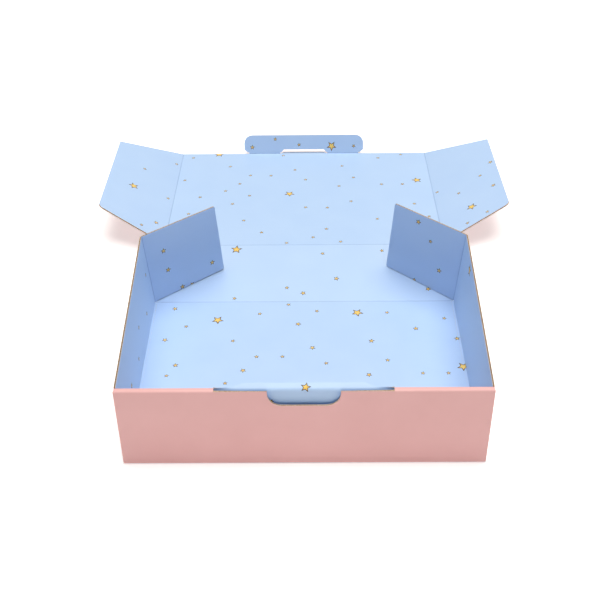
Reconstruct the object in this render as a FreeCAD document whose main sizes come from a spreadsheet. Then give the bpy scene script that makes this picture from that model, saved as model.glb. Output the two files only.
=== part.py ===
import FreeCAD, Part
import math
import os
import re
import Sketcher

# A corrugated mailer box, open, folded from one die-cut blank of thin corrugated board.
# Millimetres. X runs across the front, Y from the front to the back, Z up. The origin is the
# centre of the base's underside. The front wall is rolled over, the side walls lean out towards
# the back, the rear wall lies low behind the base and the lid slopes from it to the table.

os.makedirs("parts", exist_ok=True)
doc = FreeCAD.newDocument("mailer_box")
sheet = doc.addObject("Spreadsheet::Sheet", "Sizes")

# Driving sizes
DRIVING = {
    "board": 1.6,
    "fold_radius": 0.3,
    "top_fold_radius": 0.9,
    "wall_fold_radius": 1.4,
    "outer_width": 310,
    "outer_depth": 226,
    "wall_height": 83,
    "side_lean": 6.2,
    "front_wall_depth": 5.7,
    "panel_setback": 3.5,
    "fit_play": 0.45,
    "corner_flap_length": 75,
    "corner_flap_foot": 3,
    "slot_width": 147,
    "thumb_width": 60,
    "thumb_depth": 15.8,
    "thumb_radius": 10,
    "foot_tab_width": 40,
    "foot_tab_offset": 85,
    "foot_tab_lift": 0.3,
    "rear_wall_extra": 2,
    "rear_wall_angle": 9.2,
    "crease_gap": 0.3,
    "crease_bevel": 0.4,
    "crease_width": 1.2,
    "crease_depth": 0.3,
    "lid_shortfall": 1,
    "lid_setback": 2.75,
    "floor_play": 0.05,
    "flap_length": 83.5,
    "flap_angle_left": 56,
    "flap_angle_right": 53,
    "flap_play": 0.3,
    "flap_radius": 1.5,
    "flute_pitch": 3.2,
    "flute_base": 2.7,
    "flute_rise": 0.85,
    "flute_liner": 0.3,
    "flute_mouth": 1.5,
    "ear_shortfall": 3.5,
    "ear_near_inset": 4.6,
    "ear_far_inset": 0.5,
    "ear_near_taper": 25.5,
    "ear_far_taper": 32,
    "ear_near_radius": 7,
    "ear_far_radius": 2,
    "ear_angle": 25,
    "tongue_root": 59,
    "tongue_tip": 50,
    "tongue_length": 4.8,
    "tab_hook": 1.5,
    "tab_hook_rise": 5,
    "tab_root_setback": 4.5,
    "tab_height": 23,
    "tab_radius": 10,
    "tab_angle": 70,
}

# Sizes that follow from the driving ones
DERIVED = {
    "half_width": "outer_width / 2",
    "half_depth": "outer_depth / 2",
    "fold_outside": "board + fold_radius",
    "strip_half": "half_width - fold_outside - 1",
    "stub_end": "strip_half - 2",
    "bridge_half": "half_width - panel_setback",
    "panel_back": "front_wall_depth - half_depth",
    "panel_front": "panel_back - board",
    "flap_front": "board + fit_play - half_depth",
    "wall_start": "flap_front + 2 * board",
    "foot_tab_from": "foot_tab_offset - foot_tab_width / 2",
    "foot_tab_to": "foot_tab_offset + foot_tab_width / 2",
    "rear_wall_length": "wall_height + rear_wall_extra",
    "rear_edge": "rear_wall_length - crease_gap / 2",
    "lid_crease_back": "half_depth + rear_wall_length * cos(rear_wall_angle)",
    "lid_crease_up": "board + rear_wall_length * sin(rear_wall_angle)",
    "lid_length": "outer_depth - lid_shortfall",
    "lid_half": "half_width - lid_setback",
    "lid_reach": "lid_length + tongue_length",
    "lid_diagonal": "sqrt(lid_reach * lid_reach + board * board)",
    "lid_slope": "asin((lid_crease_up - floor_play) / lid_diagonal) - atan(board / lid_reach)",
    "edge_gap": "crease_gap / 2",
    "lean": "atan(side_lean / wall_height)",
    "flap_angle": "min(flap_angle_left; flap_angle_right)",
    "flap_reach": "edge_gap + flap_length * cos(flap_angle) + board * sin(flap_angle)",
    "flap_climb": "(flap_length * sin(flap_angle) - board * cos(flap_angle)) * sin(lean)",
    "flap_foot": "(board + flap_reach * tan(rear_wall_angle) + flap_play - flap_climb) / cos(lean)",
    "flap_top": "(wall_height - flap_play) / cos(lean)",
    "flap_root_rise": "(edge_gap + board * sin(flap_angle)) * tan(rear_wall_angle)",
    "flap_root_drop": "board * cos(flap_angle) * sin(lean)",
    "flap_root": "(board + flap_root_rise + flap_root_drop + flap_play) / cos(lean)",
    "ear_width": "wall_height - ear_shortfall",
    "tab_half": "slot_width / 2 + tab_hook",
    "tab_root_half": "slot_width / 2 - tab_root_setback",
}
words = re.compile(r"[a-z]+(?:_[a-z]+)*")
for row, (alias, number) in enumerate(DRIVING.items(), start=1):
    sheet.set("A%d" % row, alias)
    sheet.set("B%d" % row, str(number))
    sheet.setAlias("B%d" % row, alias)
for row, (alias, formula) in enumerate(DERIVED.items(), start=1):
    sheet.set("D%d" % row, alias)
    sheet.set("E%d" % row, "=" + formula)
    sheet.setAlias("E%d" % row, alias)
doc.recompute()


def size(alias):
    """The value of a named cell."""
    return float(sheet.get(alias))


def bound(formula):
    """A formula in the cells' names, written so that an expression of any object can read it."""
    cells = DRIVING.keys() | DERIVED.keys()
    return words.sub(lambda word: "Sizes." + word.group() if word.group() in cells else word.group(), formula)


def new_body(name):
    body = doc.addObject("PartDesign::Body", name)
    body.Label = name
    return body


def outline(body, name, plane, *loops, lift="0"):
    """Closed outlines of straight edges, each corner held by its two distances from the origin."""
    sketch = body.newObject("Sketcher::SketchObject", name)
    origin_plane = next(item for item in body.Origin.OriginFeatures if item.Role == plane)
    sketch.AttachmentSupport = (origin_plane, [""])
    sketch.MapMode = "FlatFace"
    sketch.setExpression("AttachmentOffset.Base.z", bound(lift))
    for corners in loops:
        first = sketch.GeometryCount
        count = len(corners)
        ring = [math.tau * index / count for index in range(count)]
        spots = [FreeCAD.Vector(math.cos(angle), math.sin(angle), 0) * size("half_depth") for angle in ring]
        for index in range(count):
            sketch.addGeometry(Part.LineSegment(spots[index], spots[(index + 1) % count]))
        for index in range(count):
            after = first + (index + 1) % count
            sketch.addConstraint(Sketcher.Constraint("Coincident", first + index, 2, after, 1))
        for index, (across, up) in enumerate(corners):
            for kind, formula, start in (("DistanceX", across, spots[index].x), ("DistanceY", up, spots[index].y)):
                number = sketch.addConstraint(Sketcher.Constraint(kind, -1, 1, first + index, 1, start))
                sketch.setExpression("Constraints[%d]" % number, bound(formula))
    return sketch


def pad(body, name, sketch, length, symmetric=False, reverse=False):
    feature = body.newObject("PartDesign::Pad", name)
    feature.Profile = sketch
    feature.setExpression("Length", bound(length))
    feature.SideType = "Symmetric" if symmetric else "One side"
    feature.Reversed = reverse
    doc.recompute()
    return feature


def pocket(body, name, sketch, length, reverse=False):
    before = body.Shape.Volume
    feature = body.newObject("PartDesign::Pocket", name)
    feature.Profile = sketch
    feature.setExpression("Length", bound(length))
    feature.Reversed = reverse
    doc.recompute()
    if body.Shape.Volume >= before:
        raise RuntimeError(name + " cuts nothing")
    return feature


def along(axis, **place):
    """A test for straight edges that run along an axis at the given coordinates."""
    def fits(edge):
        first = edge.Vertexes[0].Point
        last = edge.Vertexes[-1].Point
        run = last - first
        straight = abs(getattr(run, axis)) > 0.999 * run.Length and run.Length > 0
        spots = [getattr(point, letter) - value for point in (first, last) for letter, value in place.items()]
        return straight and all(abs(spot) < 0.01 for spot in spots)
    return fits


def dress(body, kind, name, amount, *tests):
    """Rounds or bevels the edges that pass any of the tests."""
    doc.recompute()
    base = body.Tip
    picked = [index for index, edge in enumerate(base.Shape.Edges, start=1) if any(test(edge) for test in tests)]
    if not picked:
        raise RuntimeError(name + " finds no edge")
    feature = body.newObject("PartDesign::" + kind, name)
    feature.Base = (base, ["Edge%d" % index for index in picked])
    feature.setExpression("Radius" if kind == "Fillet" else "Size", bound(amount))
    doc.recompute()
    return feature


def flute_mouths(body, name, plane, lift, face, start, run, drift="0", upward=False, reverse=False):
    """Opens the flutes along a raw edge: two hollows to each wave, on either side of the fluted paper.

    face is where the board's first printed face meets the edge, start and run say where the edge
    begins and how long it is, drift is how far the edge wanders across over its run, and upward
    is for an edge that runs along the sketch's second axis.
    """
    def spot(along, across):
        along = "%s + %s" % (start, along)
        across = "%s + %s" % (face, across)
        return (across, along) if upward else (along, across)
    near = [spot("(flute_pitch - flute_base) / 2", "flute_liner"),
            spot("(flute_pitch + flute_base) / 2", "flute_liner"),
            spot("flute_pitch / 2", "flute_liner + flute_rise")]
    far = [spot("flute_pitch - flute_base / 2", "board - flute_liner"),
           spot("flute_pitch + flute_base / 2", "board - flute_liner"),
           spot("flute_pitch", "board - flute_liner - flute_rise")]
    sketch = outline(body, name + "_outline", plane, near, far, lift=lift)
    line = sketch.addGeometry(Part.LineSegment(FreeCAD.Vector(), FreeCAD.Vector(1, 1, 0)), True)
    ends = [("0", "0"), (drift, run) if upward else (run, drift)]
    for end, (across, up) in enumerate(ends, start=1):
        for kind, formula in (("DistanceX", across), ("DistanceY", up)):
            number = sketch.addConstraint(Sketcher.Constraint(kind, -1, 1, line, end, end - 1))
            sketch.setExpression("Constraints[%d]" % number, bound(formula))
    first = pocket(body, name + "_first", sketch, "flute_mouth", reverse)
    before = body.Shape.Volume
    pattern = body.newObject("PartDesign::LinearPattern", name)
    pattern.Originals = [first]
    pattern.Direction = (sketch, ["Axis0"])
    waves = "floor((%s) / flute_pitch - 1)" % run
    pattern.setExpression("Occurrences", bound(waves))
    pattern.setExpression("Length", bound("(%s - 1) * flute_pitch" % waves))
    body.Tip = pattern
    doc.recompute()
    if body.Shape.Volume >= before:
        raise RuntimeError(name + " cuts nothing")
    return pattern


half_width = size("half_width")
half_depth = size("half_depth")
board = size("board")
wall_height = size("wall_height")


# Tray: the base, the rolled front wall, the side walls with their front corner flaps and the
# low rear wall. It is one folded sheet.
def build_tray():
    tray = new_body("tray")

    # Outer front panel with the first stretch of the base
    section = outline(tray, "outer_panel_section", "YZ_Plane", [
        ("-half_depth", "0"),
        ("wall_start", "0"),
        ("wall_start", "board"),
        ("board - half_depth", "board"),
        ("board - half_depth", "wall_height"),
        ("-half_depth", "wall_height"),
    ])
    pad(tray, "outer_panel", section, "outer_width", symmetric=True)

    # Base and rear wall, with the crease pressed into the inside between them
    section = outline(tray, "base_section", "YZ_Plane", [
        ("fold_outside - half_depth", "0"),
        ("half_depth + board * tan(rear_wall_angle / 2)", "0"),
        ("half_depth + (rear_edge - crease_bevel) * cos(rear_wall_angle) + board * sin(rear_wall_angle)",
         "board + (rear_edge - crease_bevel) * sin(rear_wall_angle) - board * cos(rear_wall_angle)"),
        ("half_depth + rear_edge * cos(rear_wall_angle)", "board + rear_edge * sin(rear_wall_angle)"),
        ("half_depth + crease_width / 2 * cos(rear_wall_angle)",
         "board + crease_width / 2 * sin(rear_wall_angle)"),
        ("half_depth", "board - crease_depth"),
        ("half_depth - crease_width / 2", "board"),
        ("fold_outside - half_depth", "board"),
    ])
    pad(tray, "base_and_rear_wall", section, "2 * strip_half", symmetric=True)

    # Bridge over the top and inner front panel
    section = outline(tray, "roll_section", "YZ_Plane", [
        ("board / 2 - half_depth", "wall_height"),
        ("board / 2 - half_depth", "wall_height - board"),
        ("panel_front", "wall_height - board"),
        ("panel_front", "board + fit_play"),
        ("panel_back", "board + fit_play"),
        ("panel_back", "wall_height"),
    ])
    pad(tray, "front_roll", section, "2 * bridge_half", symmetric=True)
    dress(tray, "Fillet", "top_folds", "top_fold_radius",
          along("x", y=-half_depth, z=wall_height),
          along("x", y=size("panel_back"), z=wall_height))
    dress(tray, "Fillet", "front_fold_outside", "fold_outside", along("x", y=-half_depth, z=0))
    dress(tray, "Fillet", "front_fold_inside", "fold_radius", along("x", y=board - half_depth, z=board))

    # Slot in the bridge for the lock tab, and the thumb cut in the outer panel
    cut = outline(tray, "slot_outline", "XY_Plane", [
        ("-slot_width / 2", "board - half_depth"),
        ("slot_width / 2", "board - half_depth"),
        ("slot_width / 2", "panel_front"),
        ("-slot_width / 2", "panel_front"),
    ], lift="wall_height")
    pocket(tray, "lock_slot", cut, "board")
    cut = outline(tray, "thumb_outline", "XZ_Plane", [
        ("-thumb_width / 2", "wall_height - thumb_depth"),
        ("thumb_width / 2", "wall_height - thumb_depth"),
        ("thumb_width / 2", "wall_height"),
        ("-thumb_width / 2", "wall_height"),
    ], lift="half_depth")
    pocket(tray, "thumb_cut", cut, "board")
    low = wall_height - size("thumb_depth")
    dress(tray, "Fillet", "thumb_corners", "thumb_radius",
          along("y", x=-size("thumb_width") / 2, z=low),
          along("y", x=size("thumb_width") / 2, z=low))

    # Slot in the base and the foot tab of the inner panel that stands in it
    cut = outline(tray, "foot_slot_outline", "XY_Plane", [
        ("-foot_tab_to - fit_play", "panel_front - fit_play"),
        ("fit_play - foot_tab_from", "panel_front - fit_play"),
        ("fit_play - foot_tab_from", "panel_back + fit_play"),
        ("-foot_tab_to - fit_play", "panel_back + fit_play"),
    ], lift="board")
    foot_slot = pocket(tray, "foot_slot", cut, "board")
    section = outline(tray, "foot_tab_outline", "XY_Plane", [
        ("-foot_tab_to", "panel_front"),
        ("-foot_tab_from", "panel_front"),
        ("-foot_tab_from", "panel_back"),
        ("-foot_tab_to", "panel_back"),
    ], lift="foot_tab_lift")
    foot_tab = pad(tray, "foot_tab", section, "2 * board + fit_play")

    # Side wall, upright at the front and leaning out at the back, with its fold at the foot
    def wall_section(name, lean, lift):
        return outline(tray, name, "XZ_Plane", [
            ("-half_width", "0"),
            ("-stub_end", "0"),
            ("-stub_end", "board"),
            ("board - half_width", "board"),
            ("board - half_width - " + lean, "wall_height"),
            ("-half_width - " + lean, "wall_height"),
        ], lift=lift)
    front_section = wall_section("wall_front_section", "0", "-wall_start")
    rear_section = wall_section("wall_rear_section", "side_lean", "-half_depth")
    wall = tray.newObject("PartDesign::AdditiveLoft", "side_wall")
    wall.Profile = front_section
    wall.Sections = [(rear_section, [""])]
    wall.Ruled = True
    doc.recompute()

    # Front corner of the side wall and the corner flap turned in behind the outer panel
    section = outline(tray, "wall_corner_outline", "XY_Plane", [
        ("-half_width", "flap_front"),
        ("board - half_width", "flap_front"),
        ("board - half_width", "wall_start"),
        ("-half_width", "wall_start"),
    ])
    corner = pad(tray, "wall_corner", section, "wall_height")
    section = outline(tray, "corner_flap_outline", "XY_Plane", [
        ("board / 2 - half_width", "flap_front"),
        ("corner_flap_length - half_width", "flap_front"),
        ("corner_flap_length - half_width", "flap_front + board"),
        ("board / 2 - half_width", "flap_front + board"),
    ], lift="corner_flap_foot")
    corner_flap = pad(tray, "corner_flap", section, "wall_height - board - fit_play - corner_flap_foot")

    twin = tray.newObject("PartDesign::Mirrored", "right_side")
    twin.Originals = [foot_slot, foot_tab, wall, corner, corner_flap]
    twin.MirrorPlane = (next(item for item in tray.Origin.OriginFeatures if item.Role == "YZ_Plane"), [""])
    tray.Tip = twin
    doc.recompute()
    flap_front = size("flap_front")
    dress(tray, "Fillet", "wall_folds", "wall_fold_radius",
          along("z", x=-half_width, y=flap_front),
          along("z", x=half_width, y=flap_front),
          along("y", x=-half_width, z=0),
          along("y", x=half_width, z=0))

    # Flute mouths in the raw top edges of the side walls
    run = "half_depth - wall_start - board"
    for name, face, sign in (("left_wall", "-half_width", "-"), ("right_wall", "half_width - board", "")):
        flute_mouths(tray, name + "_flutes", "XY_Plane", "wall_height", face, "wall_start", run,
                     drift="%sside_lean * (%s) / (half_depth - wall_start)" % (sign, run), upward=True)
    return tray


# Lid: one flat panel hinged on the rear wall's crease, with the thumb tongue on its far edge
def build_lid():
    lid = new_body("lid")
    panel = outline(lid, "lid_outline", "XY_Plane", [
        ("edge_gap - lid_half", "edge_gap"),
        ("lid_half - edge_gap", "edge_gap"),
        ("lid_half - edge_gap", "lid_length - edge_gap"),
        ("tongue_root / 2", "lid_length - edge_gap"),
        ("tongue_tip / 2", "lid_length + tongue_length"),
        ("-tongue_tip / 2", "lid_length + tongue_length"),
        ("-tongue_root / 2", "lid_length - edge_gap"),
        ("edge_gap - lid_half", "lid_length - edge_gap"),
    ])
    pad(lid, "lid_panel", panel, "board", reverse=True)
    dress(lid, "Chamfer", "crease_relief", "crease_bevel", along("x", y=size("edge_gap"), z=-board))
    return lid


# Ear: a tapered side flap of the lid; side is -1 for the left one and 1 for the right one
def build_ear(name, side):
    ear = new_body(name)
    panel = outline(ear, name + "_outline", "XY_Plane", [
        ("%d * edge_gap" % side, "ear_near_inset"),
        ("%d * ear_width" % side, "ear_near_inset + ear_near_taper"),
        ("%d * ear_width" % side, "lid_length - ear_far_inset - ear_far_taper"),
        ("%d * edge_gap" % side, "lid_length - ear_far_inset"),
    ])
    pad(ear, name + "_panel", panel, "board", reverse=True)
    tip = side * size("ear_width")
    near = size("ear_near_inset") + size("ear_near_taper")
    far = size("lid_length") - size("ear_far_inset") - size("ear_far_taper")
    dress(ear, "Fillet", name + "_near_corner", "ear_near_radius", along("z", x=tip, y=near))
    dress(ear, "Fillet", name + "_far_corner", "ear_far_radius", along("z", x=tip, y=far))
    flute_mouths(ear, name + "_flutes", "YZ_Plane", "%d * ear_width" % side, "-board",
                 "ear_near_inset + ear_near_taper + ear_near_radius",
                 "lid_length - ear_far_inset - ear_far_taper - ear_near_inset - ear_near_taper - 2 * ear_near_radius",
                 reverse=side < 0)
    return ear


# Lock tab: hinged on the lid's far edge on either side of the tongue, with a hook at each end
def build_tab():
    tab = new_body("lock_tab")
    panel = outline(tab, "tab_outline", "XY_Plane", [
        ("-tab_root_half", "edge_gap"),
        ("-tongue_root / 2 - edge_gap", "edge_gap"),
        ("-tongue_tip / 2 - edge_gap", "tongue_length + crease_gap"),
        ("tongue_tip / 2 + edge_gap", "tongue_length + crease_gap"),
        ("tongue_root / 2 + edge_gap", "edge_gap"),
        ("tab_root_half", "edge_gap"),
        ("tab_half", "tab_hook_rise"),
        ("tab_half", "tab_height"),
        ("-tab_half", "tab_height"),
        ("-tab_half", "tab_hook_rise"),
    ])
    pad(tab, "tab_panel", panel, "board", reverse=True)
    dress(tab, "Fillet", "tab_corners", "tab_radius",
          along("z", x=-size("tab_half"), y=size("tab_height")),
          along("z", x=size("tab_half"), y=size("tab_height")))
    return tab


# Rear flap: hinged on the side wall's rear edge; its sloping foot stands on the rear wall all along
# and holds it low
def build_flap(name, side):
    flap = new_body(name)
    panel = outline(flap, name + "_outline", "XZ_Plane", [
        ("edge_gap", "flap_root"),
        ("flap_length", "flap_foot"),
        ("flap_length", "flap_top"),
        ("edge_gap", "flap_top"),
    ])
    pad(flap, name + "_panel", panel, "board", reverse=side < 0)
    dress(flap, "Fillet", name + "_corners", "flap_radius",
          along("y", x=size("flap_length"), z=size("flap_foot")),
          along("y", x=size("flap_length"), z=size("flap_top")))
    flute_mouths(flap, name + "_flutes", "XY_Plane", "flap_top", "0" if side < 0 else "-board",
                 "board", "flap_length - flap_radius - board")
    return flap


def turn(axis, degrees):
    """A turn about an axis through the origin."""
    return FreeCAD.Placement(FreeCAD.Vector(), FreeCAD.Rotation(axis, degrees))


def shift(across, back, up):
    return FreeCAD.Placement(FreeCAD.Vector(across, back, up), FreeCAD.Rotation())


tray = build_tray()
lid = build_lid()
ears = {side: build_ear(name, side) for side, name in ((-1, "lid_ear_left"), (1, "lid_ear_right"))}
tab = build_tab()
flaps = {side: build_flap(name, side) for side, name in ((-1, "rear_flap_left"), (1, "rear_flap_right"))}
flap_angles = {-1: size("flap_angle_left"), 1: size("flap_angle_right")}

# Where each hinged panel lies in the open box: every one turns about its crease's inner edge
X_AXIS = FreeCAD.Vector(1, 0, 0)
Y_AXIS = FreeCAD.Vector(0, 1, 0)
Z_AXIS = FreeCAD.Vector(0, 0, 1)
lid_seat = shift(0, size("lid_crease_back"), size("lid_crease_up")) * turn(X_AXIS, -size("lid_slope"))
lid.Placement = lid_seat
tab.Placement = lid_seat * shift(0, size("lid_length"), 0) * turn(X_AXIS, size("tab_angle"))
for side, ear in ears.items():
    ear.Placement = lid_seat * shift(side * size("lid_half"), 0, 0) * turn(Y_AXIS, -side * size("ear_angle"))
for side, flap in flaps.items():
    wall_foot = shift(side * (half_width - board), half_depth + size("edge_gap"), 0)
    upright = turn(Y_AXIS, side * size("lean"))
    flap.Placement = wall_foot * upright * turn(Z_AXIS, 90 + side * flap_angles[side])
doc.recompute()

for item in doc.Objects:
    if "Invalid" in item.State or "Error" in item.State:
        raise RuntimeError(item.Name + " did not compute")
for piece in (tray, lid, *ears.values(), tab, *flaps.values()):
    shape = piece.Shape
    if shape.isNull() or not shape.isValid() or len(shape.Solids) != 1:
        raise RuntimeError(piece.Label + " is not one sound solid")
    shape.exportStep("parts/%s.step" % piece.Label)
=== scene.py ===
import math
import random
from collections import namedtuple

import bmesh
import bpy
from mathutils import Matrix, Vector


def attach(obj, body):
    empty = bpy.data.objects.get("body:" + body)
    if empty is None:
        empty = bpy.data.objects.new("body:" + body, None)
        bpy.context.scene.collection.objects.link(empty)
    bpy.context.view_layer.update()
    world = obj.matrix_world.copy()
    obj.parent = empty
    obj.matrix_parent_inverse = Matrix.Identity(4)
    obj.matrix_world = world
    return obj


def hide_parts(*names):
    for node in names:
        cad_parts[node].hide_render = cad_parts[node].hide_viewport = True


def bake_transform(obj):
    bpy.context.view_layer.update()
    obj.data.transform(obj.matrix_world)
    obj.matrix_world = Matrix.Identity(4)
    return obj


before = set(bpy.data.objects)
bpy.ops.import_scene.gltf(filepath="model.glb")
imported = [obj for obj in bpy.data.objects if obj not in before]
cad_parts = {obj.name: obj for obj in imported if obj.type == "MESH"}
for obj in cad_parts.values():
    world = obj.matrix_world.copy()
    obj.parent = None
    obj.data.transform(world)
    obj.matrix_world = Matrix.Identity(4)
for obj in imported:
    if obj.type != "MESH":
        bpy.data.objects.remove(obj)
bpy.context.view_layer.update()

# Tray. The base, the low rear wall, the leaning side walls with their front corner flaps and the
# rolled front wall are one die-cut sheet of thin corrugated board, printed on both faces. It is
# worked here as the flat blank, in millimetres with the blue face up, and then folded.
PER_METRE = 1000
BOARD = 1.6
LINER = 0.25
PAPER = 0.2
FLUTE_PITCH = 3.2
FLUTE_STEPS = 8
FLUTE_PLAY = 0.02
BEND_STEPS = 6
CORNER_STEPS = 6
CREASE_WIDTH = 1.1
CREASE_DEPTH = 0.15
CREASE_ROWS = (-1, -0.4, 0.4, 1)
GROOVE_SHARE = 0.3
LEVEL = 0.5
ON_PLANE = 1e-5
LEFT = Vector((-1, 0, 0))
REARWARD = Vector((0, 1, 0))
FORWARD = Vector((0, -1, 0))
UP = Vector((0, 0, 1))
ACROSS = Vector((1, 0, 0))
# The last finish is painted shade: a darker blue laid on the pressed crease grooves.
BLUE, PINK, RAW, FLUTE, GOLD, LINE, PAINTED_CREASE_SHADE = range(7)


class Crease(namedtuple("Crease", "way corner angle radius length")):
    """A fold of the blank: its direction, where the two inner faces meet, its turn and its bend."""

    def start(self):
        return self.corner - self.radius * math.tan(self.angle / 2)

    def flat(self, past):
        """How far out on the flat blank a point lies that ends up this far past the corner."""
        return self.start() + self.length + past - self.radius * math.tan(self.angle / 2)

    def spots(self):
        """Where the blank is scored so that it can bend."""
        return [self.start() + self.length * step / BEND_STEPS for step in range(BEND_STEPS + 1)]


def score(bm, way, spots):
    """Splits the sheet along straight lines square to a direction."""
    pending = bm.faces[:]
    for spot in sorted(spots):
        edges = {edge for face in pending for edge in face.edges}
        verts = {vert for face in pending for vert in face.verts}
        parts = bmesh.ops.bisect_plane(bm, geom=[*verts, *edges, *pending], dist=ON_PLANE,
                                       plane_co=way * spot, plane_no=way)
        faces = [part for part in parts["geom"] if isinstance(part, bmesh.types.BMFace)]
        pending = [face for face in faces if face.calc_center_median().dot(way) > spot]


def cut_blank(loops):
    """A flat sheet cut to its outline; each loop has its corners and the radii of rounded ones."""
    bm = bmesh.new()
    for corners, radii in loops:
        ring = [bm.verts.new((x, y, 0)) for x, y in corners]
        face = bm.faces.new(ring)
        for number, radius in radii.items():
            bmesh.ops.bevel(bm, geom=[ring[number]], offset=radius, offset_type="OFFSET",
                            segments=CORNER_STEPS, profile=0.5, affect="VERTICES", material=-1)
        if len(loops) > 1:
            bmesh.ops.delete(bm, geom=bm.faces[:], context="FACES_ONLY")
    if len(loops) > 1:
        bmesh.ops.triangle_fill(bm, use_beauty=True, edges=bm.edges[:])
    bmesh.ops.recalc_face_normals(bm, faces=bm.faces)
    if bm.faces[:] and sum(face.normal.z for face in bm.faces) < 0:
        bmesh.ops.reverse_faces(bm, faces=bm.faces)
    return bm


def thicken(bm, depth):
    """Gives the sheet its thickness downwards."""
    made = bmesh.ops.extrude_face_region(bm, geom=bm.faces[:])
    lower = [part for part in made["geom"] if isinstance(part, bmesh.types.BMVert)]
    bmesh.ops.translate(bm, verts=lower, vec=(0, 0, -depth))
    bmesh.ops.recalc_face_normals(bm, faces=bm.faces)


def fold(bm, crease, stiff):
    """Folds up what lies past a crease; a stiff piece lies wholly past it and doesn't bend."""
    for vert in bm.verts:
        reach = vert.co.dot(crease.way) - crease.start()
        if reach <= 0 and not stiff:
            continue
        turn = crease.angle * (1 if stiff else min(reach / crease.length, 1))
        run = reach - crease.length if stiff else max(reach - crease.length, 0)
        drop = crease.radius - vert.co.z
        out = crease.start() + drop * math.sin(turn) + run * math.cos(turn)
        height = crease.radius - drop * math.cos(turn) + run * math.sin(turn)
        along = vert.co - crease.way * vert.co.dot(crease.way) - UP * vert.co.z
        vert.co = along + crease.way * out + UP * height


def join(target, source):
    """Adds a finished part to a piece."""
    flat = bpy.data.meshes.new("part")
    source.to_mesh(flat)
    source.free()
    target.from_mesh(flat)
    bpy.data.meshes.remove(flat)


def merge(target, bm, creases, stiff, place, shape):
    """Folds a flat part, sets it in its place and adds it to the piece; its map keeps the flat sheet."""
    layer = bm.loops.layers.uv.new("blank")
    for face in bm.faces:
        for loop in face.loops:
            loop[layer].uv = (loop.vert.co.x / PER_METRE, loop.vert.co.y / PER_METRE)
    for crease in creases:
        fold(bm, crease, stiff)
    if shape:
        shape(bm)
    bmesh.ops.transform(bm, matrix=place, verts=bm.verts)
    join(target, bm)


def press_groove(bm, way, spot, middle):
    """Sinks the blue face along a scored crease and gives it a darker blue there, painted shade in the
    crease.
    """
    for face in bm.faces:
        off = abs(face.calc_center_median().dot(way) - spot)
        if face.material_index == BLUE and off < CREASE_WIDTH / 2:
            face.material_index = PAINTED_CREASE_SHADE
    for vert in bm.verts:
        off = abs(vert.co.dot(way) - spot)
        if vert.co.z > middle and off < CREASE_WIDTH * GROOVE_SHARE:
            vert.co.z -= CREASE_DEPTH


def lay_board(target, loops, creases=(), stiff=False, place=Matrix(), shape=None, grid=(), groove=()):
    """Adds one stretch of board: the blue liner, the fluted paper and the pink liner."""
    crest = BOARD / 2 - LINER - PAPER / 2 - FLUTE_PLAY
    layers = ((BLUE, 0, LINER), (FLUTE, PAPER / 2 - BOARD / 2, PAPER), (PINK, LINER - BOARD, LINER))
    for layer, top, depth in layers:
        bm = cut_blank(loops)
        for crease in creases:
            if not stiff:
                score(bm, crease.way, crease.spots())
        for way, spots in grid:
            score(bm, way, spots)
        if layer == BLUE and groove:
            way, spot = groove
            score(bm, way, [spot + row * CREASE_WIDTH / 2 for row in CREASE_ROWS])
        if layer == FLUTE:
            low = min(vert.co.y for vert in bm.verts)
            high = max(vert.co.y for vert in bm.verts)
            step = FLUTE_PITCH / FLUTE_STEPS
            rows = range(math.ceil(low / step), math.ceil(high / step))
            score(bm, REARWARD, [step * row for row in rows])
        for vert in bm.verts:
            vert.co.z = top
            if layer == FLUTE:
                vert.co.z += crest * math.sin(math.tau * vert.co.y / FLUTE_PITCH)
        thicken(bm, depth)
        for face in bm.faces:
            printed = layer == BLUE and face.normal.z > LEVEL or layer == PINK and face.normal.z < -LEVEL
            face.material_index = layer if printed or layer == FLUTE else RAW
            face.smooth = True
        if layer == BLUE and groove:
            press_groove(bm, way, spot, top - depth / 2)
        merge(target, bm, creases, stiff, place, shape)


# The print: small five-pointed stars scattered over the blue face, gold with a thin dark line round
# them. Each is two thin films of ink, the line below and the gold on it, and folds with the sheet.
STAR_POINTS = 5
STAR_WIDTHS = {"large": 13, "lip": 9.6, "middle": 6.6, "small": 5.2}
STAR_CORES = {"large": 0.68, "lip": 0.64, "middle": 0.6, "small": 0.56}
STAR_WAIST = 0.44
CORE_WAIST = 0.5
STAR_TURN = 36
INK_PROUD = 0.03
INK_DEPTH = 0.13
draw = random.Random(7)


def print_stars(target, stars, creases=(), stiff=False, place=Matrix(), shape=None, trim=(), grid=()):
    """Prints stars on a stretch of the blank at places given in millimetres on the flat sheet."""
    for kind, places in stars.items():
        for x, y in places:
            turn = Matrix.Rotation(math.radians(draw.uniform(-STAR_TURN, STAR_TURN)), 4, "Z")
            radius = STAR_WIDTHS[kind] / 2
            for ink, size, waist, proud in ((LINE, radius, STAR_WAIST, INK_PROUD),
                                            (GOLD, radius * STAR_CORES[kind], CORE_WAIST, 2 * INK_PROUD)):
                bm = bmesh.new()
                ring = bmesh.ops.create_circle(bm, cap_ends=True, segments=2 * STAR_POINTS, radius=size)
                for vert in ring["verts"][1::2]:
                    vert.co *= waist
                for face in bm.faces:
                    face.material_index = ink
                bmesh.ops.transform(bm, matrix=Matrix.Translation((x, y, proud)) @ turn, verts=bm.verts)
                for crease in creases:
                    if not stiff:
                        score(bm, crease.way, crease.spots())
                for way, spots in grid:
                    score(bm, way, spots)
                if trim:
                    way, spot = trim
                    bmesh.ops.bisect_plane(bm, geom=bm.verts[:] + bm.edges[:] + bm.faces[:], dist=ON_PLANE,
                                           plane_co=way * spot, plane_no=way, clear_outer=True)
                thicken(bm, INK_DEPTH)
                merge(target, bm, creases, stiff, place, shape)


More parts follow.
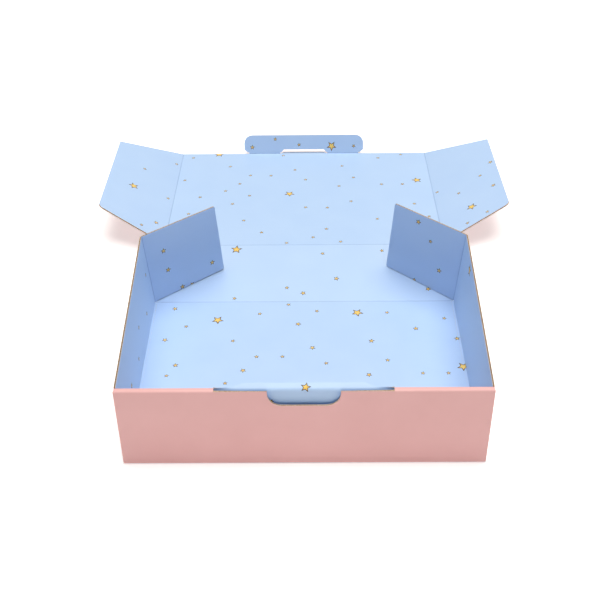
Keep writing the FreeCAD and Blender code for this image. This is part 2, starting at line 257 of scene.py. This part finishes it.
# Front wall: the outer panel stands at the base's front edge, a narrow bridge goes over the top, and
# the inner panel comes down behind it with two tabs in the base's slots. The bridge is cut away for
# the lid's lock tab, and the outer panel has a thumb cut there.
QUARTER = math.pi / 2
SOFT_BEND = (0.3, 1.7)
SHARP_BEND = (0.1, 1.25)
OUTER_HALF = 155
WALL_HEIGHT = 83
PLY_FACE = 111.4
PANEL_FACE = -108.9
BRIDGE_DEPTH = 2.5
CORNER_FACE = 109.35
REAR_RISE = math.radians(9.2)
REAR_LENGTH = 85
REAR_BEND = 12
BASE_DEPTH = 113
front_foot = Crease(FORWARD, PLY_FACE, QUARTER, *SOFT_BEND)
front_top = Crease(FORWARD, front_foot.flat(WALL_HEIGHT - 2 * BOARD), QUARTER, *SHARP_BEND)
panel_top = Crease(FORWARD, front_top.flat(BRIDGE_DEPTH), QUARTER, *SHARP_BEND)
front_creases = (panel_top, front_top, front_foot)
rear_fold = Crease(REARWARD, BASE_DEPTH, REAR_RISE, REAR_BEND, REAR_BEND * REAR_RISE)
side_foot = Crease(LEFT, OUTER_HALF - BOARD, QUARTER, *SOFT_BEND)
corner_fold = Crease(FORWARD, CORNER_FACE, QUARTER, *SHARP_BEND)
MARGIN = 2
HINGE_MARGIN = 1.5
FIT_PLAY = 0.45
SLIT = 109.45
PANEL_HALF = 151.5
ROLL_HALF = 154.7
ROLL_BACK = -107.2
ROLL_LAP = 0.2
SLOT_HALF = 73.5
SLOT_ROWS = (0.4, 0.9, 1.5)
THUMB_HALF = 30
THUMB_DEPTH = 15.8
THUMB_RADIUS = 12
REAR_HALF = 152.1
SPUR_HALF = 153.2
SPUR_SHOULDER = 1.2
SPUR_END = 4
FOOT_TAB = (65, 105)
FOOT_SLOT = (-109.35, -106.85)
TAB_PLAY = 0.3
CRUSH_START = 78
CRUSH_SHARE = 0.55
CURL_LENGTH = 4
CURL_START = WALL_HEIGHT - BOARD - CURL_LENGTH
CURL_RADIUS = 3
CURL_RUN = 14
LIP_RUN = 24
LIP_LENGTH = 4.6
LIP_ROWS = (0, 0.6, 1.2, 1.9, 2.7, 3.6, 4.5)
LIP_COLUMNS = range(-72, 73, 4)

tray = bmesh.new()
on_floor = Matrix.Translation((0, 0, BOARD))
base_half = OUTER_HALF - BOARD - MARGIN
rim = -front_foot.flat(WALL_HEIGHT - BOARD)
bridge_start = -front_top.start() + MARGIN
thumb_foot = rim + THUMB_DEPTH
rear_end = rear_fold.flat(REAR_LENGTH - HINGE_MARGIN)
half_outline = [
    (REAR_HALF, rear_end), (REAR_HALF, BASE_DEPTH + SPUR_END), (SPUR_HALF, BASE_DEPTH + SPUR_SHOULDER),
    (SPUR_HALF, BASE_DEPTH), (base_half, BASE_DEPTH), (base_half, -SLIT),
    (OUTER_HALF, -SLIT), (OUTER_HALF, rim), (ROLL_HALF, rim), (ROLL_HALF, bridge_start),
    (SLOT_HALF, bridge_start), (SLOT_HALF, rim), (THUMB_HALF, rim), (THUMB_HALF, thumb_foot),
]
whole_outline = half_outline + [(-x, y) for x, y in reversed(half_outline)]
thumb_corners = {len(half_outline) - 1: THUMB_RADIUS, len(half_outline): THUMB_RADIUS}
slot_front, slot_back = FOOT_SLOT
foot_slots = [
    ([(side * (FOOT_TAB[0] - FIT_PLAY), slot_front), (side * (FOOT_TAB[1] + FIT_PLAY), slot_front),
      (side * (FOOT_TAB[1] + FIT_PLAY), slot_back), (side * (FOOT_TAB[0] - FIT_PLAY), slot_back)], {})
    for side in (-1, 1)
]


def crush_slot(bm):
    """Squashes the outer panel thin towards its cut edge at the slot, as the cutting die leaves it."""
    for vert in bm.verts:
        if vert.co.y < -PLY_FACE and abs(vert.co.x) < SLOT_HALF:
            near = min(max(vert.co.z - CRUSH_START, 0) / (WALL_HEIGHT - 2 * BOARD - CRUSH_START), 1)
            vert.co.y -= (vert.co.y + PLY_FACE + BOARD) * CRUSH_SHARE * near


slot_rows = (REARWARD, [rim + step for step in SLOT_ROWS])
lay_board(tray, [(whole_outline, thumb_corners), *foot_slots], (front_foot, rear_fold), place=on_floor,
          groove=(REARWARD, BASE_DEPTH), grid=(slot_rows,), shape=crush_slot)

for side in (-1, 1):
    bridge = [(side * SLOT_HALF, bridge_start), (side * ROLL_HALF, bridge_start),
              (side * ROLL_HALF, -panel_top.flat(ROLL_LAP)), (side * PANEL_HALF, -panel_top.flat(ROLL_LAP)),
              (side * PANEL_HALF, -panel_top.flat(MARGIN)), (side * SLOT_HALF, -panel_top.flat(MARGIN))]
    lay_board(tray, [(bridge, {})], front_creases, place=on_floor)

panel_rim = -panel_top.flat(-BOARD)
panel_start = -panel_top.flat(MARGIN)
panel_foot = -panel_top.flat(WALL_HEIGHT - 2 * BOARD - FIT_PLAY)
tab_foot = -panel_top.flat(WALL_HEIGHT - BOARD - TAB_PLAY)
half_panel = [
    (SLOT_HALF - LIP_RUN, panel_rim + LIP_LENGTH), (SLOT_HALF - CURL_RUN, panel_rim), (SLOT_HALF, panel_rim),
    (SLOT_HALF, panel_start), (PANEL_HALF, panel_start), (PANEL_HALF, panel_foot),
    (FOOT_TAB[1], panel_foot), (FOOT_TAB[1], tab_foot), (FOOT_TAB[0], tab_foot), (FOOT_TAB[0], panel_foot),
]


def curl_back(bm):
    """Rolls the panel's free rim back along the slot into a thin lip."""
    for vert in bm.verts:
        rise = vert.co.z - CURL_START
        share = min((SLOT_HALF - abs(vert.co.x)) / CURL_RUN, 1)
        if rise > 0 and share > 0:
            radius = CURL_RADIUS / share
            depth = radius - (vert.co.y - PANEL_FACE) * (1 - CRUSH_SHARE * min(rise / CURL_LENGTH, 1))
            turn = min(rise, CURL_LENGTH) / radius
            past = max(rise - CURL_LENGTH, 0)
            vert.co.y = PANEL_FACE + radius - depth * math.cos(turn) + past * math.sin(turn)
            vert.co.z = CURL_START + depth * math.sin(turn) + past * math.cos(turn)


rim_grid = ((REARWARD, [panel_rim - step for step in LIP_ROWS]), (ACROSS, LIP_COLUMNS))
lay_board(tray, [(half_panel + [(-x, y) for x, y in reversed(half_panel)], {})], front_creases, stiff=True,
          place=on_floor, shape=curl_back, grid=rim_grid)
print_stars(tray, {"lip": [(1.5, panel_rim)], "small": [(-27, panel_rim - 14.3)]}, front_creases, stiff=True,
            place=on_floor, shape=curl_back, trim=(REARWARD, panel_rim + LIP_LENGTH), grid=rim_grid)

# Side walls: each stands upright at the front and leans out towards the back. The corner flap on
# its front edge is turned in between the two plies of the front wall.
EDGE_GAP = 0.15
SIDE_LEAN = 6.2
LEAN_START = -107.75
WALL_FOOT_RISE = 1.4
CORNER_FLAP_LENGTH = 73.4
STRIP_FOOT = 1.9
STRIP_TOP = 81.1
WALL_ROWS = (170, 190, 210, 225)
WALL_COLUMNS = range(-90, 91, 20)
wall_top = -side_foot.flat(WALL_HEIGHT - BOARD)
wall_foot = -side_foot.flat(WALL_FOOT_RISE)
flap_rim = -side_foot.flat(WALL_HEIGHT - 2 * BOARD - FIT_PLAY)
corner_flap_end = -corner_fold.flat(CORNER_FLAP_LENGTH)
hinge_foot = -side_foot.flat(STRIP_FOOT - BOARD)
hinge_top = -side_foot.flat(STRIP_TOP)
hinge_line = BASE_DEPTH + EDGE_GAP - HINGE_MARGIN
side_outline = [
    (-base_half, BASE_DEPTH), (-base_half, -SLIT), (wall_foot, -SLIT), (wall_foot, corner_flap_end),
    (flap_rim, corner_flap_end), (flap_rim, ROLL_BACK), (wall_top, ROLL_BACK), (wall_top, BASE_DEPTH),
    (hinge_top, BASE_DEPTH), (hinge_top, hinge_line), (hinge_foot, hinge_line), (hinge_foot, BASE_DEPTH),
]


def lean_out(bm):
    """Leans the wall out, more and more towards the back."""
    for vert in bm.verts:
        share = max(vert.co.y - LEAN_START, 0) / (BASE_DEPTH - LEAN_START)
        vert.co.x -= SIDE_LEAN * share * max(vert.co.z + BOARD, 0) / WALL_HEIGHT


def mirrored(source):
    """The same part seen in a mirror, for the other side of the box."""
    twin = source.copy()
    bmesh.ops.scale(twin, vec=(-1, 1, 1), verts=twin.verts)
    bmesh.ops.reverse_faces(twin, faces=twin.faces)
    return twin


wall_grid = ((LEFT, WALL_ROWS), (REARWARD, WALL_COLUMNS))
wall_stars = {
    "left": {"small": [(-175, 68), (-193, 24), (-201, 97), (-174, 1)], "middle": [(-182, -45)]},
    "right": {"large": [(-226, 67), (-151, 10)], "middle": [(-150, 52)]},
}
for hand, stars in wall_stars.items():
    wall = bmesh.new()
    lay_board(wall, [(side_outline, {})], (corner_fold, side_foot), place=on_floor, shape=lean_out,
              grid=wall_grid)
    print_stars(wall, stars, (corner_fold, side_foot), place=on_floor, shape=lean_out)
    join(tray, mirrored(wall) if hand == "right" else wall)

print_stars(tray, {
    "large": [(-87, 83), (54, 94), (-73, 191)],
    "middle": [(-132, 102), (-137, 52), (-6, 76), (-123, 14), (-58, 6), (111, 68), (66, 49), (8, 39),
               (61, -1), (-1, 125), (34, 146), (129, 130)],
    "small": [(-118, 73), (-45, 93), (-16, 108), (-70, 50), (-46, 26), (-21, 26), (-130, -1), (-74, -12),
              (13, 97), (84, 94), (141, 84), (21, 16), (80, 20), (112, 1), (136, 1), (-18, 133), (-72, 118),
              (20, 184), (84, 188), (-98, -44), (-38, -58), (15, -38), (70, -60), (118, -52), (-126, -76),
              (-60, -90), (24, -84), (98, -94), (-130, 170), (118, 165)],
}, (rear_fold,), place=on_floor)


def coat(name, build):
    """A finish made of shader nodes; the builder is given the nodes, the links and the main shader."""
    made = bpy.data.materials.new(name)
    made.use_nodes = True
    nodes = made.node_tree.nodes
    build(nodes, made.node_tree.links, nodes["Principled BSDF"])
    return made


def srgb(red, green, blue):
    """A colour as it is seen, given in parts of 255, turned into light."""
    def light(part):
        part /= 255
        return part / 12.92 if part <= 0.04045 else ((part + 0.055) / 1.055) ** 2.4
    return (light(red), light(green), light(blue), 1)


def cloud(nodes, links, scale, detail):
    """Cloudy grey noise laid over the piece's own place."""
    place = nodes.new("ShaderNodeTexCoord")
    noise = nodes.new("ShaderNodeTexNoise")
    noise.inputs["Scale"].default_value = scale
    noise.inputs["Detail"].default_value = detail
    links.new(place.outputs["Object"], noise.inputs["Vector"])
    return noise.outputs["Fac"]


def two_tone(nodes, links, shader, noise, deep, pale, soft):
    """Mixes two tones of a colour by the noise; soft is the width of the change between them."""
    ramp = nodes.new("ShaderNodeValToRGB")
    ramp.color_ramp.elements[0].position = 0.5 - soft
    ramp.color_ramp.elements[0].color = deep
    ramp.color_ramp.elements[1].position = 0.5 + soft
    ramp.color_ramp.elements[1].color = pale
    links.new(noise, ramp.inputs["Fac"])
    links.new(ramp.outputs["Color"], shader.inputs["Base Color"])


def relief(nodes, links, height, strength, distance):
    """Raises a surface by a height pattern."""
    bump = nodes.new("ShaderNodeBump")
    bump.inputs["Strength"].default_value = strength
    bump.inputs["Distance"].default_value = distance
    links.new(height, bump.inputs["Height"])
    return bump


def printed_paper(pale, deep, shine, wash):
    """Printed liner: faintly uneven ink, paper grain, and the flutes showing through as a washboard."""
    def build(nodes, links, shader):
        mottle = cloud(nodes, links, scale=28, detail=6)
        two_tone(nodes, links, shader, mottle, deep, pale, soft=0.2)
        grain = cloud(nodes, links, scale=1500, detail=4)
        fibre = relief(nodes, links, grain, strength=0.12, distance=0.0002)
        sheet = nodes.new("ShaderNodeUVMap")
        sheet.uv_map = "blank"
        split = nodes.new("ShaderNodeSeparateXYZ")
        links.new(sheet.outputs["UV"], split.inputs["Vector"])
        phase = nodes.new("ShaderNodeMath")
        phase.operation = "MULTIPLY"
        phase.inputs[1].default_value = math.tau * PER_METRE / FLUTE_PITCH
        links.new(split.outputs["Y"], phase.inputs[0])
        ripple = nodes.new("ShaderNodeMath")
        ripple.operation = "SINE"
        links.new(phase.outputs["Value"], ripple.inputs[0])
        washboard = relief(nodes, links, ripple.outputs["Value"], strength=wash, distance=0.00003)
        links.new(fibre.outputs["Normal"], washboard.inputs["Normal"])
        links.new(washboard.outputs["Normal"], shader.inputs["Normal"])
        uneven = nodes.new("ShaderNodeMapRange")
        uneven.inputs["To Min"].default_value = shine - 0.05
        uneven.inputs["To Max"].default_value = shine + 0.08
        links.new(mottle, uneven.inputs["Value"])
        links.new(uneven.outputs["Result"], shader.inputs["Roughness"])
        shader.inputs["Coat Weight"].default_value = 0.3
        shader.inputs["Coat Roughness"].default_value = 0.5
    return build


def bare_paper(pale, deep, scale):
    """Matt paper or ink with its fibres showing, in two tones."""
    def build(nodes, links, shader):
        fibres = cloud(nodes, links, scale, detail=5)
        two_tone(nodes, links, shader, fibres, deep, pale, soft=0.15)
        rough = relief(nodes, links, fibres, strength=0.3, distance=0.0002)
        links.new(rough.outputs["Normal"], shader.inputs["Normal"])
        shader.inputs["Roughness"].default_value = 0.85
    return build


finishes = [
    coat("blue_print", printed_paper(srgb(184, 212, 247), srgb(180, 209, 246), shine=0.5, wash=0.35)),
    coat("pink_print", printed_paper(srgb(238, 184, 182), srgb(234, 179, 177), shine=0.5, wash=0.3)),
    coat("liner_edge", bare_paper(srgb(246, 234, 216), srgb(226, 204, 178), scale=900)),
    coat("flute_paper", bare_paper(srgb(228, 202, 168), srgb(188, 152, 114), scale=700)),
    coat("star_gold", bare_paper(srgb(250, 218, 128), srgb(240, 194, 92), scale=500)),
    coat("star_line", bare_paper(srgb(96, 80, 74), srgb(64, 54, 58), scale=600)),
    # Painted shade: a darker blue for the pressed crease grooves, standing in for the shade in them.
    coat("painted_crease_shade", printed_paper(srgb(164, 193, 230), srgb(158, 187, 226), shine=0.5, wash=0)),
]
SHARP_ANGLE = math.radians(35)


def finish_piece(name, bm):
    """Turns the worked blank into a finished piece, in metres, with its finishes."""
    bmesh.ops.scale(bm, vec=[1 / PER_METRE] * 3, verts=bm.verts)
    mesh = bpy.data.meshes.new(name)
    bm.to_mesh(mesh)
    bm.free()
    for finish in finishes:
        mesh.materials.append(finish)
    mesh.set_sharp_from_angle(angle=SHARP_ANGLE)
    piece = bpy.data.objects.new(name, mesh)
    bpy.context.collection.objects.link(piece)
    return piece


tray_piece = finish_piece("board_tray", tray)
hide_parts("tray")
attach(tray_piece, "tray")

# Lid: one flat panel of the same board on the rear wall's crease, with the thumb tongue on its far
# edge. It slopes down from the crease until that edge lies on the table.
LID_LENGTH = 225
LID_HALF = 152.25
TONGUE_ROOT = 29.5
TONGUE_TIP = 25
TONGUE_LENGTH = 4.8
TAB_ROOT_HALF = 69
EAR_NEAR = 4.6
EAR_FAR = 224.5
FLOOR_PLAY = 0.05
crease_back = BASE_DEPTH + REAR_LENGTH * math.cos(REAR_RISE)
crease_up = BOARD + REAR_LENGTH * math.sin(REAR_RISE)
lid_reach = LID_LENGTH + TONGUE_LENGTH
lid_slope = math.asin((crease_up - FLOOR_PLAY) / math.hypot(lid_reach, BOARD)) - math.atan(BOARD / lid_reach)
lid_seat = Matrix.Translation((0, crease_back, crease_up)) @ Matrix.Rotation(-lid_slope, 4, "X")
half_lid = [
    (LID_HALF - EDGE_GAP, HINGE_MARGIN), (LID_HALF - EDGE_GAP, EAR_NEAR),
    (LID_HALF - HINGE_MARGIN, EAR_NEAR), (LID_HALF - HINGE_MARGIN, EAR_FAR), (LID_HALF - EDGE_GAP, EAR_FAR),
    (LID_HALF - EDGE_GAP, LID_LENGTH - EDGE_GAP), (TAB_ROOT_HALF, LID_LENGTH - EDGE_GAP),
    (TAB_ROOT_HALF, LID_LENGTH - HINGE_MARGIN), (TONGUE_ROOT + EDGE_GAP, LID_LENGTH - HINGE_MARGIN),
    (TONGUE_ROOT, LID_LENGTH - EDGE_GAP), (TONGUE_TIP, LID_LENGTH + TONGUE_LENGTH),
]
lid = bmesh.new()
lay_board(lid, [(half_lid + [(-x, y) for x, y in reversed(half_lid)], {})], place=lid_seat)
print_stars(lid, {
    "large": [(-107, 223), (-17, 117), (136, 150)],
    "small": [(-139, 214), (-144, 153), (-122, 110), (-91, 189), (-65, 165), (-40, 164), (-77, 143),
              (-93, 125), (-64, 113), (-83, 93), (-68, 54), (-47, 27), (-11, 179), (-26, 219), (2, 153),
              (2, 84), (-19, 4), (122, 220), (93, 211), (47, 189), (60, 158), (42, 136), (55, 98),
              (93, 140), (118, 140), (128, 91), (83, 56), (27, 83), (25, 34), (10, 16), (40, 6), (142, 61),
              (-132, 70), (104, 20)],
}, place=lid_seat, trim=(REARWARD, LID_LENGTH - EDGE_GAP))
lid_piece = finish_piece("board_lid", lid)
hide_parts("lid")
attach(lid_piece, "lid")

# Ears: the lid's two tapered side flaps, of the same board. When the box is closed they go down
# inside the side walls; here they are raised a little from the lid.
EAR_WIDTH = 79.5
EAR_NEAR_TAPER = 25.5
EAR_FAR_TAPER = 32
EAR_FAR_RADIUS = 1.5
EAR_NEAR_RADIUS = 5
EAR_FOLD = math.radians(25)
near_slope = EAR_NEAR_TAPER / EAR_WIDTH
far_slope = EAR_FAR_TAPER / EAR_WIDTH
ear_seat = lid_seat @ Matrix.Translation((-LID_HALF, 0, 0)) @ Matrix.Rotation(EAR_FOLD, 4, "Y")
ear_outline = [
    (-HINGE_MARGIN, EAR_NEAR + near_slope * HINGE_MARGIN),
    (-HINGE_MARGIN, EAR_FAR - far_slope * HINGE_MARGIN),
    (-EAR_WIDTH, EAR_FAR - EAR_FAR_TAPER), (-EAR_WIDTH, EAR_NEAR + EAR_NEAR_TAPER),
]
ear_stars = {
    "left": {"large": [(-49, 100)], "middle": [(-14, 40)],
             "small": [(-42, 149), (-7, 102), (-6, 192), (-29, 24)]},
    "right": {"large": [(-39, 53)], "middle": [(-74, 134), (-69, 80)],
              "small": [(-58, 113), (-29, 93), (-5, 115), (-54, 30), (-30, 23)]},
}
for hand, stars in ear_stars.items():
    ear = bmesh.new()
    lay_board(ear, [(ear_outline, {2: EAR_FAR_RADIUS, 3: EAR_NEAR_RADIUS})], place=ear_seat)
    print_stars(ear, stars, place=ear_seat)
    ear_piece = finish_piece("board_ear_" + hand, mirrored(ear) if hand == "right" else ear)
    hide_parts("lid_ear_" + hand)
    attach(ear_piece, "lid_ear_" + hand)

# Lock tab: a narrow flap of the same board on the lid's far edge, hinged on both sides of the thumb
# tongue. Its ends are hooks that catch in the front wall's slot when the box is closed.
TAB_HALF = 75
TAB_HEIGHT = 23
TAB_RADIUS = 10
TAB_HOOK_RISE = 5
TAB_FOLD = math.radians(70)
tab_seat = lid_seat @ Matrix.Translation((0, LID_LENGTH, 0)) @ Matrix.Rotation(TAB_FOLD, 4, "X")
hook_run = (TAB_HALF - TAB_ROOT_HALF) * (HINGE_MARGIN - EDGE_GAP) / (TAB_HOOK_RISE - EDGE_GAP)
notch_run = (TONGUE_ROOT - TONGUE_TIP) * (HINGE_MARGIN - EDGE_GAP) / (TONGUE_LENGTH + EDGE_GAP)
half_tab = [
    (TONGUE_TIP + EDGE_GAP, TONGUE_LENGTH + 2 * EDGE_GAP),
    (TONGUE_ROOT + EDGE_GAP - notch_run, HINGE_MARGIN), (TAB_ROOT_HALF + hook_run, HINGE_MARGIN),
    (TAB_HALF, TAB_HOOK_RISE), (TAB_HALF, TAB_HEIGHT),
]
lock_tab = bmesh.new()
tab_corners = {len(half_tab) - 1: TAB_RADIUS, len(half_tab): TAB_RADIUS}
lay_board(lock_tab, [(half_tab + [(-x, y) for x, y in reversed(half_tab)], tab_corners)], place=tab_seat)
print_stars(lock_tab, {"large": [(35, 9)], "middle": [(-65, 8)], "small": [(-36, 18), (-6, 11), (63, 9)]},
            place=tab_seat)
tab_piece = finish_piece("board_lock_tab", lock_tab)
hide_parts("lock_tab")
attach(tab_piece, "lock_tab")

# Rear flaps: of the same board, hinged on the side walls' rear edges. They are swung in, and their
# sloping feet hold the rear wall low.
FLAP_LENGTH = 83.5
FLAP_ROOT = 2.26
FLAP_FOOT = 5.39
FLAP_TOP = 82.93
FLAP_RADIUS = 1.5
FLAP_SWING = {"left": math.radians(56), "right": math.radians(53)}
lean = math.atan(SIDE_LEAN / WALL_HEIGHT)
stand_up = Matrix(((0, 1, 0, 0), (0, 0, -1, 0), (-1, 0, 0, 0), (0, 0, 0, 1)))
flap_outline = [
    (-FLAP_ROOT, HINGE_MARGIN), (-FLAP_FOOT, FLAP_LENGTH),
    (-FLAP_TOP, FLAP_LENGTH), (-FLAP_TOP, HINGE_MARGIN),
]
flap_stars = {
    "left": {"middle": [(-57, 20), (-33, 21), (-19, 71), (-5.7, 33), (-3.4, 44)]},
    "right": {"middle": [(-74, 54), (-29, 22)], "small": [(-58, 37), (-4.5, 48)]},
}
foot_slope = Vector((FLAP_LENGTH - HINGE_MARGIN, FLAP_FOOT - FLAP_ROOT, 0)).normalized()
foot_cut = (foot_slope, foot_slope.dot(Vector((-FLAP_ROOT, HINGE_MARGIN, 0))))
edge_foot = Matrix.Translation((BOARD - OUTER_HALF, BASE_DEPTH + EDGE_GAP, 0))
wall_edge = edge_foot @ Matrix.Rotation(-lean, 4, "Y")
for hand, stars in flap_stars.items():
    flap_seat = wall_edge @ Matrix.Rotation(QUARTER - FLAP_SWING[hand], 4, "Z") @ stand_up
    flap = bmesh.new()
    lay_board(flap, [(flap_outline, {1: FLAP_RADIUS, 2: FLAP_RADIUS})], place=flap_seat)
    print_stars(flap, stars, place=flap_seat, trim=foot_cut)
    flap_piece = finish_piece("board_flap_" + hand, mirrored(flap) if hand == "right" else flap)
    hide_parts("rear_flap_" + hand)
    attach(flap_piece, "rear_flap_" + hand)

# Hinge creases: the board runs on over every crease where a panel turns. It is scored and pressed thin
# there, with painted shade in the groove, and the strip bends with the panel.
HINGE_RADIUS = 0.4
LID_BEND = 8


def hinge_strip(name, loops, crease, place, hand="left"):
    """A narrow strip of board over a crease, which bends between the two panels it joins."""
    strip = bmesh.new()
    lay_board(strip, loops, (crease,), place=place, groove=(crease.way, crease.start() + crease.length / 2))
    if hand == "right":
        strip = mirrored(strip)
    piece = finish_piece(name, strip)
    side = -1 if hand == "right" else 1
    near = crease.way * (crease.corner - HINGE_MARGIN)
    turned = crease.way * math.cos(crease.angle) + UP * math.sin(crease.angle)
    far = crease.way * crease.corner + turned * HINGE_MARGIN
    middle = place @ ((near + far) / 2)
    reach = (place.to_3x3() @ (far - near)).normalized() * HINGE_MARGIN
    start, end = middle - reach, middle + reach
    for spot in (start, end):
        spot.x *= side
    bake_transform(piece)


def hinge_crease(way, corner, angle):
    """The tight crease of a flap."""
    return Crease(way, corner, angle, HINGE_RADIUS, HINGE_RADIUS * angle)


def band(crease, first, last):
    """The outline of a strip over a crease, from one end of it to the other."""
    near, far = crease.corner - HINGE_MARGIN, crease.flat(HINGE_MARGIN)
    line = ACROSS if crease.way.y else REARWARD
    spots = [crease.way * near + line * first, crease.way * near + line * last,
             crease.way * far + line * last, crease.way * far + line * first]
    return [([(spot.x, spot.y) for spot in spots], {})]


rear_seat = on_floor @ Matrix.Translation((0, BASE_DEPTH, 0)) @ Matrix.Rotation(REAR_RISE, 4, "X")
lid_turn = REAR_RISE + lid_slope
lid_crease = Crease(REARWARD, REAR_LENGTH, -lid_turn, -LID_BEND, LID_BEND * lid_turn)
hinge_strip("crease_lid", band(lid_crease, -REAR_HALF, REAR_HALF), lid_crease, rear_seat)

ear_crease = hinge_crease(LEFT, LID_HALF, EAR_FOLD)
ear_band = band(ear_crease, EAR_NEAR, EAR_FAR)
for hand in ("left", "right"):
    hinge_strip("crease_ear_" + hand, ear_band, ear_crease, lid_seat, hand)

tab_crease = hinge_crease(REARWARD, LID_LENGTH, TAB_FOLD)
tab_band = band(tab_crease, -TAB_ROOT_HALF, -TONGUE_ROOT - EDGE_GAP)
for hand in ("left", "right"):
    hinge_strip("crease_tab_" + hand, tab_band, tab_crease, lid_seat, hand)

wall_seat = wall_edge @ Matrix.Rotation(QUARTER, 4, "Z") @ stand_up
for hand, swing in FLAP_SWING.items():
    flap_crease = hinge_crease(REARWARD, 0, swing)
    flap_band = band(flap_crease, -FLAP_TOP, -STRIP_FOOT)
    hinge_strip("crease_flap_" + hand, flap_band, flap_crease, wall_seat, hand)

# Table: a plain white table top that keeps the box's soft shadow. What the camera sees of it is
# lifted towards white, most of all far from the box.
TABLE_HALF = 6
TABLE_DROP = 0.0002
floor_mesh = bpy.data.meshes.new("floor")
floor_work = bmesh.new()
bmesh.ops.create_grid(floor_work, x_segments=1, y_segments=1, size=TABLE_HALF)
bmesh.ops.translate(floor_work, verts=floor_work.verts, vec=(0, 0, -TABLE_DROP))
floor_work.to_mesh(floor_mesh)
floor_work.free()
floor = bpy.data.objects.new("floor", floor_mesh)
bpy.context.collection.objects.link(floor)


def seen_rays(nodes, links):
    """A factor of one for what the camera sees, straight or in a reflection or through glass."""
    path = nodes.new("ShaderNodeLightPath")
    straight = nodes.new("ShaderNodeMath")
    straight.operation = "MAXIMUM"
    links.new(path.outputs["Is Camera Ray"], straight.inputs[0])
    links.new(path.outputs["Is Glossy Ray"], straight.inputs[1])
    every = nodes.new("ShaderNodeMath")
    every.operation = "MAXIMUM"
    links.new(straight.outputs["Value"], every.inputs[0])
    links.new(path.outputs["Is Transmission Ray"], every.inputs[1])
    return every.outputs["Value"]


def white_table(nodes, links, shader):
    """Matt white, with the lift for the camera's own rays."""
    shader.inputs["Base Color"].default_value = (0.93, 0.93, 0.93, 1)
    shader.inputs["Roughness"].default_value = 0.9
    shader.inputs["Specular IOR Level"].default_value = 0.1
    place = nodes.new("ShaderNodeTexCoord")
    distance = nodes.new("ShaderNodeVectorMath")
    distance.operation = "LENGTH"
    links.new(place.outputs["Object"], distance.inputs[0])
    fade = nodes.new("ShaderNodeMapRange")
    fade.inputs["From Min"].default_value = 0.6
    fade.inputs["From Max"].default_value = 2.2
    fade.inputs["To Min"].default_value = 0.46
    fade.inputs["To Max"].default_value = 1
    links.new(distance.outputs["Value"], fade.inputs["Value"])
    lift = nodes.new("ShaderNodeEmission")
    links.new(fade.outputs["Result"], lift.inputs["Strength"])
    none = nodes.new("ShaderNodeEmission")
    none.inputs["Strength"].default_value = 0
    pick = nodes.new("ShaderNodeMixShader")
    links.new(seen_rays(nodes, links), pick.inputs["Fac"])
    links.new(none.outputs["Emission"], pick.inputs[1])
    links.new(lift.outputs["Emission"], pick.inputs[2])
    both = nodes.new("ShaderNodeAddShader")
    links.new(shader.outputs["BSDF"], both.inputs[0])
    links.new(pick.outputs["Shader"], both.inputs[1])
    links.new(both.outputs["Shader"], nodes["Material Output"].inputs["Surface"])


floor_mesh.materials.append(coat("white_table", white_table))

# Studio: pale light from the room, a broad soft lamp over the box and a smaller one low in front of
# it. The room looks white to the camera.
WHITE = (1, 1, 1, 1)
world = bpy.data.worlds.new("studio")
bpy.context.scene.world = world
world.use_nodes = True
air = world.node_tree
room = air.nodes["Background"]
room.inputs["Color"].default_value = WHITE
room.inputs["Strength"].default_value = 0.15
white = air.nodes.new("ShaderNodeBackground")
white.inputs["Color"].default_value = WHITE
white.inputs["Strength"].default_value = 1
blend = air.nodes.new("ShaderNodeMixShader")
air.links.new(seen_rays(air.nodes, air.links), blend.inputs["Fac"])
air.links.new(room.outputs["Background"], blend.inputs[1])
air.links.new(white.outputs["Background"], blend.inputs[2])
air.links.new(blend.outputs["Shader"], air.nodes["World Output"].inputs["Surface"])


def soft_lamp(name, spot, aim, width, power, tint):
    """A square studio lamp that looks at a point."""
    lamp = bpy.data.lights.new(name, "AREA")
    lamp.color = tint
    lamp.shape = "SQUARE"
    lamp.size = width
    lamp.energy = power
    holder = bpy.data.objects.new(name, lamp)
    holder.location = spot
    holder.rotation_mode = "QUATERNION"
    holder.rotation_quaternion = (Vector(aim) - Vector(spot)).to_track_quat("-Z", "Y")
    holder.visible_camera = False
    bpy.context.collection.objects.link(holder)


soft_lamp("top_lamp", spot=(0.1, 0.3, 2.3), aim=(0, 0.1, 0), width=1.9, power=60, tint=(1, 0.97, 0.92))
soft_lamp("front_lamp", spot=(0, -2.4, 0.1), aim=(0, 0, 0), width=0.7, power=16, tint=(1, 1, 1))

# Camera: it stands in front of the box and looks down on it, from the place and with the lens that
# put the box's corners where the picture has them.
EYE = (0.00285, -0.7327, 0.6486)
LOOK_DOWN = math.radians(37.328)
LOOK_LEFT = math.radians(0.48)
TILT = math.radians(-0.598)
FOCAL_PIXELS = 1034.07
IMAGE_WIDTH = 600
SENSOR_WIDTH = 36
camera_data = bpy.data.cameras.new("camera")
camera_data.sensor_width = SENSOR_WIDTH
camera_data.lens = FOCAL_PIXELS / IMAGE_WIDTH * SENSOR_WIDTH
camera_data.clip_start = 0.01
camera_data.clip_end = 50
camera = bpy.data.objects.new("camera", camera_data)
stance = (Matrix.Rotation(LOOK_LEFT, 4, "Z") @ Matrix.Rotation(QUARTER - LOOK_DOWN, 4, "X")
          @ Matrix.Rotation(TILT, 4, "Z"))
camera.matrix_world = Matrix.Translation(EYE) @ stance
bpy.context.collection.objects.link(camera)
bpy.context.scene.camera = camera
bpy.context.scene.view_settings.view_transform = "Standard"
